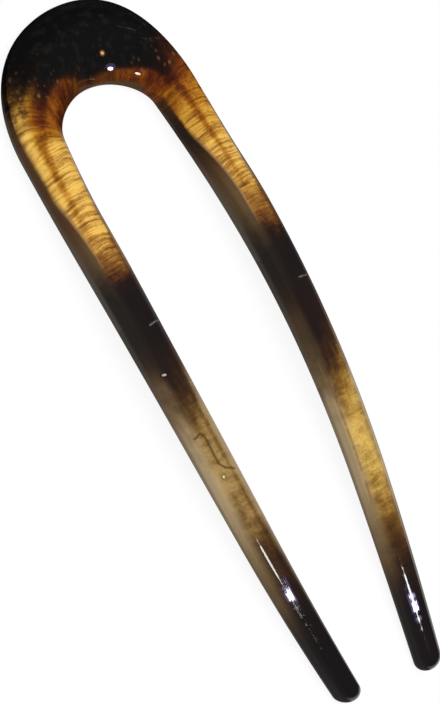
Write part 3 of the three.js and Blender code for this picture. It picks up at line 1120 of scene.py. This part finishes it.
# %% Crown: colours of the face
black = r.mix(r.ramp(run, 0.9, 1.25), BLACK, LEG_BLACK)
face = GOLD
for dye, depth, left_over in (
        (BAND_DYE, brown, NO_GLOW), (AMBER_DYE, amber, NO_GLOW), (SMOKE_DYE, smoke, black)):
    face = r.group(dyed_shell, {"Base": face, "Dye": dye, "Depth": depth, "Black": left_over})["Color"]
blotch = r.times(r.ramp(r.noise(flow, 0.8, 3.0), 0.50, 0.72), r.ramp(past_front, 0.0, -0.2), 0.07)
face = r.mix(blotch, face, SPECK_GREY)
cells = r.add("ShaderNodeTexVoronoi", {"Vector": flow, "Scale": 1.1, "Randomness": 1.0}).node.outputs
chosen, large, bright_one = r.parts(cells["Color"])
reach = r.ramp(large, 0.0, 1.0, 0.18, 0.52)
speck = r.times(
    r.ramp(cells["Distance"], reach, 0.04), r.ramp(chosen, 0.05, 0.60), r.ramp(past_front, 0.15, 0.0))
speck_colour = r.mix(r.times(r.ramp(past_front, -0.30, -0.05), bright_one), SPECK_GREY, SPECK_AMBER)
face = r.mix(r.times(speck, r.ramp(past_front, -0.35, -0.05, 0.10, 0.75)), face, speck_colour)
print("crown nodes, face:", len(crown_shell.node_tree.nodes))

# %% [markdown]
# ## Walls of the crown
#
# Where the arch turns down into its walls the plastic is seen edge on: black round the back, brown in the
# gold part, and black in the painted shade under the right shoulder. On the inner edge of the right
# shoulder the gold is carried on over the edge, because the plastic is clear there to its foot. Further
# down, the smoky wall of the legs begins.

# %% Crown: walls and rims
SEAM_NEAR_BORDER = 0.64  # where face and wall meet at the cuts, on the crown and the legs alike
SEAM_BORDER_SHIFT = -0.08  # times the hand: on the left they meet closer to the edge
SEAM_FAR_BORDER = -0.66  # where face and rim meet there
shoulder = r.times(r.ramp(run, 0.62, 0.80), r.ramp(run, 1.07, 1.0), right_share)
in_band = r.ramp(band_at, -0.09, 0.005)
wall = r.mix(r.ramp(past_front, -0.12, 0.15), WALL_DARK, WALL_AMBER)
for share, tone in (
        (r.times(shoulder, r.ramp(lift, 0.12, 0.50)), face), (shoulder_shade, WALL_DARK),
        (r.ramp(run, 1.12, 1.20), WALL_SMOKE), (in_band, WALL_BLACK)):
    wall = r.mix(share, wall, tone)
# The rim on the far edge is painted light from the table.
pale = r.times(r.ramp(run, 1.10, 1.18), r.ramp(hand, 0.5, -0.5))
side_lit_rim = r.mix(right_share, LIT_RIM_IN_BLACK[-1], LIT_RIM_IN_BLACK[1])
lit_rim = r.mix(in_band, r.mix(pale, LIT_RIM_BROWN, LIT_RIM_SMOKE), side_lit_rim)
in_gold = r.times(r.ramp(run, 1.0, 1.08), r.ramp(band_at, -0.03, -0.09))
no_foot_reflection = r.math("MAXIMUM", shoulder, shoulder_shade)
# On the crown the line along the wall is a painted highlight on the ridge.
colour, gloss = r.group(edge_strips, {
    "Face": face, "Wall": wall, "Lit Rim": lit_rim, "Line": RIDGE_HIGHLIGHT,
    "Near": near, "Facing": facing, "Lift": lift,
    "Near Border": r.ramp(run, 1.02, 1.20, 1.0, r.scaled(hand, SEAM_BORDER_SHIFT, SEAM_NEAR_BORDER)),
    "Far Border": r.ramp(run, 0.82, 1.12, -1.25, SEAM_FAR_BORDER),
    "Soft": r.ramp(band_at, -0.08, 0.005, 0.10, 0.30),
    "Far Dark": r.times(in_gold, 0.5),
    "Line Share": r.times(in_gold, r.ramp(run, 1.06, 1.11), 0.5),
    "Foot Reflection Share": r.times(r.ramp(run, 0.55, 0.85, 0.0, 0.7), r.scaled(no_foot_reflection, -0.9, 1.0))})[:2]
print("crown nodes, walls:", len(crown_shell.node_tree.nodes))

# %% [markdown]
# ## Polish and marks of the crown
#
# The outer flank of the arch lies in its own shade, so its polish is taken back there and it does not
# mirror the white table. Last come the scratch and the amber dot with a painted glint in its centre, and
# then the coat.

# %% Crown: polish, marks and coat
DOT_SCALE = 0.40  # the dot of the crown is larger than the nubs of the legs
scratch, nub, crack = (r.place(name) for name in ("scratch", "nub", "crack"))
arch_run = r.scaled(right_share, -0.2, run)
flank = r.math("MAXIMUM", r.ramp(across, 0.15, 0.50), r.ramp(near, -0.2, -0.55))
flank = r.times(flank, r.ramp(facing, 1.0, 0.93), r.ramp(arch_run, 1.0, 0.8))
gloss = r.times(gloss, r.scaled(flank, -0.98, 1.0))
colour = r.group(worn_marks, {
    "Color": colour, "Flow": flow, "Scratch": scratch, "Nub And Glint": r.times(nub, DOT_SCALE), "Crack": crack,
    "Scratch Color": CROWN_SCRATCH_GREY,
    "Nub And Glint Color": r.mix(r.ramp(nub, 0.30, 0.06), DOT_AMBER, DOT_PAINTED_GLINT)})["Color"]
clear_coat(r, colour, gloss, flow)
crown.data.materials.append(crown_shell)
print(crown_shell.name, "nodes:", len(crown_shell.node_tree.nodes))

# %% [markdown]
# ## The legs: black, honey, black
#
# Below the crown each leg is black, then clear and light, then black again at its tip. Where the leg
# piece begins it has to be as black as the crown, so that the cut never shows. Clouds and a grain along
# the leg make both borders wander. On the thin walls and rims the same cloud counts for less.

# %% Depth of the black in a leg
SEAM_RUN = 1.32
UPPER_DEPTH = 4.0
LOWER_DEPTH = 4.2
SEAM_DEPTH = 3.0


def leg_cloud(r, run, near, grain, cloudy, clears, blackens):
    """How deep the black dye is. It clears over the first stretch of run and comes back over the second."""
    wander = r.sum(r.times(cloudy, 0.10), r.times(r.centred(grain), 0.08))
    upper = r.ramp(r.scaled(near, -0.03, r.sum(run, wander)), *clears, UPPER_DEPTH, 0.0)
    lower = r.ramp(r.scaled(wander, 0.4, run), *blackens, 0.0, LOWER_DEPTH)
    return r.sum(upper, lower, r.ramp(run, SEAM_RUN + 0.05, SEAM_RUN, 0.0, SEAM_DEPTH))


def thin_cloud(r, run, cloud):
    """The same on a wall or rim, which is darkened once more near the seam and at the tip."""
    near_seam = r.ramp(run, SEAM_RUN + 0.11, SEAM_RUN, 0.0, SEAM_DEPTH)
    return r.sum(r.times(cloud, 0.43), near_seam, r.ramp(run, 1.82, 1.95, 0.0, 2.5))


print("the legs start at run", SEAM_RUN)

# %% [markdown]
# ## Colours of a leg
#
# The face, the wall and the rim of a leg are dyed alike, each from its own clear tone. So one function
# dips all three and returns them together. The face has the growth lines and, on the left leg, a darker
# stripe along its middle.

# %% Face, wall and rim of a leg
def leg_tones(r, side, base, run, near, growth, cloud, middle_share):
    """The three colours of a leg, from its clear base and the depth of its black."""
    fine, broad, cloudy, grit = growth
    lines = r.sum(r.times(fine, 0.26), r.times(broad, 0.40), r.times(cloudy, 1.2), r.times(grit, 0.8), 0.27)
    middle = r.times(r.hump(near, -0.22, 0.24), middle_share)
    depth = r.sum(cloud, lines, middle, r.ramp(near, 0.0, -0.55, 0.0, -0.26))
    thin = thin_cloud(r, run, cloud)
    at_tip = r.ramp(run, 1.76, 1.92)
    tones = []
    # The rim's tone is painted light from the table.
    for clear, dye, deep, black, tip_black in (
            (base, BROWN_DYE, depth, LEG_BLACK, TIP_BLACK),
            (WALL_HORN, WALL_DYE, thin, WALL_BLACK, TIP_WALL),
            (LIT_RIM_PALE, WALL_DYE, thin, LIT_RIM_IN_BLACK[side], TIP_WALL)):
        left_over = r.mix(at_tip, black, tip_black)
        dyed = r.group(dyed_shell, {"Base": clear, "Dye": dye, "Depth": deep, "Black": left_over})
        tones.append(dyed["Color"])
    return tones


print("clear tones of the legs:", [round(channel, 2) for channel in TAN + HONEY])

# %% [markdown]
# ## The leg materials
#
# The left leg is tan, the right one a warmer honey with lines along its edges. No two legs are ever
# alike, so one function makes both materials and takes what differs as values.

# %% Leg materials
LEG_SOFT = 0.38


def leg_material(name, side, base, clears, blackens, middle_share, border_lines):
    """A leg: black at its upper end, light below, and black again at its tip."""
    material, r = new_material(name)
    run, across, facing, lift = (r.place(key) for key in ("run", "across", "facing", "lift"))
    scratch, nub, crack = (r.place(key) for key in ("scratch", "nub", "crack"))
    flow = r.place("flow", "Vector")
    along, over = r.parts(flow)[:2]
    near = r.times(across, -float(side))
    seam_border = SEAM_NEAR_BORDER + SEAM_BORDER_SHIFT * side
    growth = r.group(growth_lines, {"Flow": flow, "Pitch": 0.6, "Waviness": 1.4, "Bow": 0.03})[:4]
    grain = r.streaks(along, over, 0.3, 1.5, 5.0, detail=3.0)
    cloud = leg_cloud(r, run, near, grain, growth[2], clears, blackens)
    face, wall, lit_rim = leg_tones(r, side, base, run, near, growth, cloud, middle_share)
    dark = r.ramp(cloud, 0.5, 3.0)
    patches = r.ramp(r.streaks(along, over, 0.45, 0.0, 2.0), 0.36, 0.60, 0.3, 1.0)
    edge_line = r.times(r.ramp(run, 1.36, 1.42), r.ramp(run, 1.76, 1.70), patches, border_lines)
    colour, gloss = r.group(edge_strips, {
        "Face": face, "Wall": wall, "Lit Rim": lit_rim, "Line": r.mix(dark, LINE_BROWN, LINE_DARK),
        "Near": near, "Facing": facing, "Lift": lift, "Soft": LEG_SOFT,
        "Near Border": r.ramp(run, 1.31, 1.40, seam_border, 0.89),
        "Far Border": r.ramp(run, 1.31, 1.42, SEAM_FAR_BORDER, r.scaled(dark, -0.16, -0.50)),
        "Far Dark": r.times(r.ramp(cloud, 1.5, 0.2), patches, border_lines),
        "Line Share": edge_line, "Foot Reflection Share": r.scaled(dark, -0.15, 0.60)})[:2]
    # The nubs are white up to run 1.5, where a white one is a painted glint, and a painted yellowish
    # sparkle past 1.55.
    colour = r.group(worn_marks, {
        "Color": colour, "Flow": flow, "Scratch": scratch, "Nub And Glint": nub, "Crack": crack,
        "Scratch Color": SCRATCH_GREY,
        "Nub And Glint Color": r.mix(r.ramp(run, 1.50, 1.55), NUB_AND_GLINT_WHITE, SPARKLE_GLINT_YELLOW)})["Color"]
    clear_coat(r, colour, gloss, flow)
    print(name, "nodes:", len(material.node_tree.nodes))
    return material


left_leg.data.materials.append(leg_material(
    "left_leg_shell", -1, TAN, clears=(1.32, 1.54), blackens=(1.60, 1.94),
    middle_share=0.42, border_lines=0.0))
right_leg.data.materials.append(leg_material(
    "right_leg_shell", 1, HONEY, clears=(1.40, 1.58), blackens=(1.67, 1.95),
    middle_share=0.0, border_lines=0.6))

# %% [markdown]
# ## The table
#
# The pin lies on plain white paper. The paper is white to the camera and in reflections, through the
# Light Path node, and a little of it stays an ordinary matt surface, so that it keeps a faint shadow.
# Lighting it until it is white would wash out the pin.

# %% White table
FLOOR_HALF = 6.0
PAPER_WHITE = (0.9, 0.9, 0.9, 1.0)
GLOW_WHITE = (1.0, 1.0, 1.0, 1.0)
GLOW_SHARE = 0.92
floor_mesh = bpy.data.meshes.new("table")
floor_corners = [(-1, -1), (1, -1), (1, 1), (-1, 1)]
floor_mesh.from_pydata([(FLOOR_HALF * x, FLOOR_HALF * y, 0) for x, y in floor_corners], [], [(0, 1, 2, 3)])
floor = bpy.data.objects.new("table", floor_mesh)
bpy.context.scene.collection.objects.link(floor)

paper, r = new_material("white_paper")
path = r.add("ShaderNodeLightPath").node.outputs
seen = r.math("MAXIMUM", path["Is Camera Ray"], path["Is Glossy Ray"])
seen = r.math("MAXIMUM", seen, path["Is Transmission Ray"])
matt = r.add("ShaderNodeBsdfDiffuse", {"Color": PAPER_WHITE})
glow = r.add("ShaderNodeEmission", {"Color": GLOW_WHITE, "Strength": 1.0})
surface = r.add("ShaderNodeMixShader", {0: r.times(seen, GLOW_SHARE), 1: matt, 2: glow})
r.add("ShaderNodeOutputMaterial", {"Surface": surface})
floor_mesh.materials.append(paper)
print("table is", 2 * FLOOR_HALF, "m wide")

# %% [markdown]
# ## Room and soft light
#
# The room is dim, so the black crown stays black. A wide soft lamp above the table lights the colours.
# Its own mirror image would lie over the whole crown like a veil, so the lamp is hidden from reflections,
# as a photographer would do with a polarising filter.

# %% Dim room and soft lamp
ROOM_LIGHT = 0.04
SOFT_TOWARDS = Vector((-0.10, -0.10, 0.95)).normalized()
SOFT_DISTANCE = 1.4
SOFT_SIZE = 1.2
SOFT_POWER = 26.0
WHITE = (1.0, 1.0, 1.0)

world = bpy.data.worlds.new("dim_room")
world.use_nodes = True
background = world.node_tree.nodes["Background"]
background.inputs["Color"].default_value = (*WHITE, 1.0)
background.inputs["Strength"].default_value = ROOM_LIGHT
bpy.context.scene.world = world


def add_lamp(name, place, towards, sideways, size, power, colour):
    """An area lamp at a place that looks back along a direction, with its long side set sideways."""
    data = bpy.data.lights.new(name, "AREA")
    data.shape = "ELLIPSE"
    data.size, data.size_y = size
    data.energy = power
    data.color = colour
    lamp = bpy.data.objects.new(name, data)
    bpy.context.scene.collection.objects.link(lamp)
    up = towards.cross(sideways).normalized()
    turn = Matrix((up.cross(towards), up, towards)).transposed()
    lamp.matrix_world = Matrix.Translation(place) @ turn.to_4x4()
    print(name, "at", [round(x, 3) for x in lamp.location])
    return lamp


soft_lamp = add_lamp("soft_lamp", SOFT_TOWARDS * SOFT_DISTANCE, SOFT_TOWARDS, Vector((1.0, 0.0, 0.0)),
                     (SOFT_SIZE, SOFT_SIZE), SOFT_POWER, WHITE)
soft_lamp.visible_glossy = False

# %% [markdown]
# ## Small flashes
#
# The sharp glints on the crown and the streaks near the tips are mirror images of flash lamps. A mirror
# image lies where the line of sight, bounced off the surface, meets the lamp. So each glint is named by
# its place on the pin, and the lamp is set on the bounced line. Trial and error would take far longer.

# %% Where a lamp has to be for its glint
EYE = CAMERA_TARGET + CAMERA_DISTANCE * towards_camera
RUN_WEIGHT = 40  # a step of run is this many times as long as a step across
SEEN_FACING = 0.1
NEVER = 100.0


def bounced(piece, run, across, distance):
    """Where a lamp has to be to be mirrored at surface coordinates, and the direction towards it."""
    mesh = piece.data
    places = {}
    for key in ("run", "across", "facing", "hand"):
        places[key] = np.empty(len(mesh.vertices), dtype=np.float32)
        mesh.attributes[key].data.foreach_get("value", places[key])
    far = (RUN_WEIGHT * (places["run"] - run)) ** 2 + (places["across"] - across) ** 2
    far[(places["facing"] < SEEN_FACING) | ((piece is crown) & (places["hand"] < 0))] = NEVER
    index = int(far.argmin())
    point, normal = mesh.vertices[index].co, mesh.vertex_normals[index].vector
    sight = (EYE - point).normalized()
    bounce = 2 * normal.dot(sight) * normal - sight
    return point + distance * bounce, bounce


print("the eye is at", [round(x, 3) for x in EYE])

# %% [markdown]
# ### One flash lamp
#
# A flash should make one glint and nothing else. Light linking lets the lamp act on one piece only, and
# it is kept out of the diffuse light, so a glint can be set without changing a colour. How bright the
# glint is depends on the lamp's light for each bit of its area, so that is what is given, and the power
# follows from the size.

# %% A lamp from its glint
VIOLET = (0.42, 0.30, 1.0)
PINK = (1.0, 0.84, 0.82)
OVERLAP = 1.1  # lamps of a row reach a little over each other


def add_flash(name, piece, run, across, distance, size, radiance, colour, spread=0.12):
    """A lamp whose long side lies where the bounce turns when the eye moves across the piece."""
    place, towards = bounced(piece, run, across, distance)
    one, other = (bounced(piece, run, across + step, distance)[0] for step in (-spread, spread))
    width = size[0] or OVERLAP * (other - one).length / 2
    power = radiance * math.pi * math.pi / 4 * width * size[1]
    flash = add_lamp(name, place, towards, other - one, (width, size[1]), power, colour)
    flash.visible_diffuse = False
    flash.visible_camera = False
    lit = bpy.data.collections.new(name + "_lights")
    lit.objects.link(piece)
    flash.light_linking.receiver_collection = lit
    return flash


print("violet fringe:", VIOLET, "pink glint:", PINK)

# %% [markdown]
# ## Glints on the crown
#
# Two lamps are mirrored in the inner slope of the arch: a bright round one with a violet fringe, and a
# small slanting pinkish one to its right. The fringe is a second, larger and weaker lamp behind the first
# and a little higher, as a lens draws it.

# %% Glints on the crown
LAMP_DISTANCE = 0.6
FRINGE_GAP = 0.01
behind_lamp = LAMP_DISTANCE + FRINGE_GAP
# A glint's run and place across, then the distance, size, brightness and colour of its lamp
add_flash("flash_crown", crown, 0.227, -0.755, LAMP_DISTANCE, (0.074, 0.068), 40, WHITE)
add_flash("fringe_crown", crown, 0.227, -0.750, behind_lamp, (0.14, 0.12), 2.2, VIOLET)
add_flash("flash_crown_low", crown, 0.545, -0.824, LAMP_DISTANCE, (0.055, 0.072), 30, PINK)

# %% [markdown]
# ## Streaks on the legs
#
# A leg curves strongly across and hardly along. So one lamp gives a thin line, and a broad glint needs a
# row of low lamps, bent round the leg. Lower lamps at the ends of the row let the glint taper. Weak
# violet lamps behind them give the fringe that a camera adds to a very bright spot. On the left leg a few
# tiny lamps further down give the dashes that its unpolished tip shows.

# %% Streaks on the legs
CLOSE_DISTANCE = 0.2
FLASH_STEP = 0.13
FRINGE_STEP = 0.2
FRINGE_HEIGHT = 1.9  # of the flash
DASH_ACROSS = 0.5
DASH_SIZE = (0.14, 0.0006)

add_flash("strip_left", left_leg, 1.752, 0.538, LAMP_DISTANCE, (0.12, 0.018), 18, WHITE)
add_flash("strip_right", right_leg, 1.893, -0.432, CLOSE_DISTANCE, (0.045, 0.0055), 25, WHITE)
for piece, run, across, distance, height in (
        (left_leg, 1.813, 0.453, LAMP_DISTANCE, 0.0028),
        (right_leg, 1.908, -0.404, CLOSE_DISTANCE, 0.0011)):
    for k in (-1, 0, 1):
        tag = piece.name + "_" + str(k + 1)
        add_flash("flash_" + tag, piece, run, across + FLASH_STEP * k, distance,
                  (None, height * (1 - 0.5 * abs(k))), 60, WHITE, FLASH_STEP)
        add_flash("fringe_" + tag, piece, run, across + FRINGE_STEP * k, distance + FRINGE_GAP,
                  (None, FRINGE_HEIGHT * height), 4, VIOLET, FRINGE_STEP)
for k, (run, radiance) in enumerate(((1.838, 12), (1.853, 9), (1.869, 9), (1.890, 4))):
    add_flash("dash_" + str(k), left_leg, run, DASH_ACROSS, LAMP_DISTANCE, DASH_SIZE, radiance, WHITE)

# %% [markdown]
# ## Finishing
#
# The view transform is the plain one, so that colours come out as they are written.

# %% The view transform
bpy.context.scene.view_settings.view_transform = "Standard"
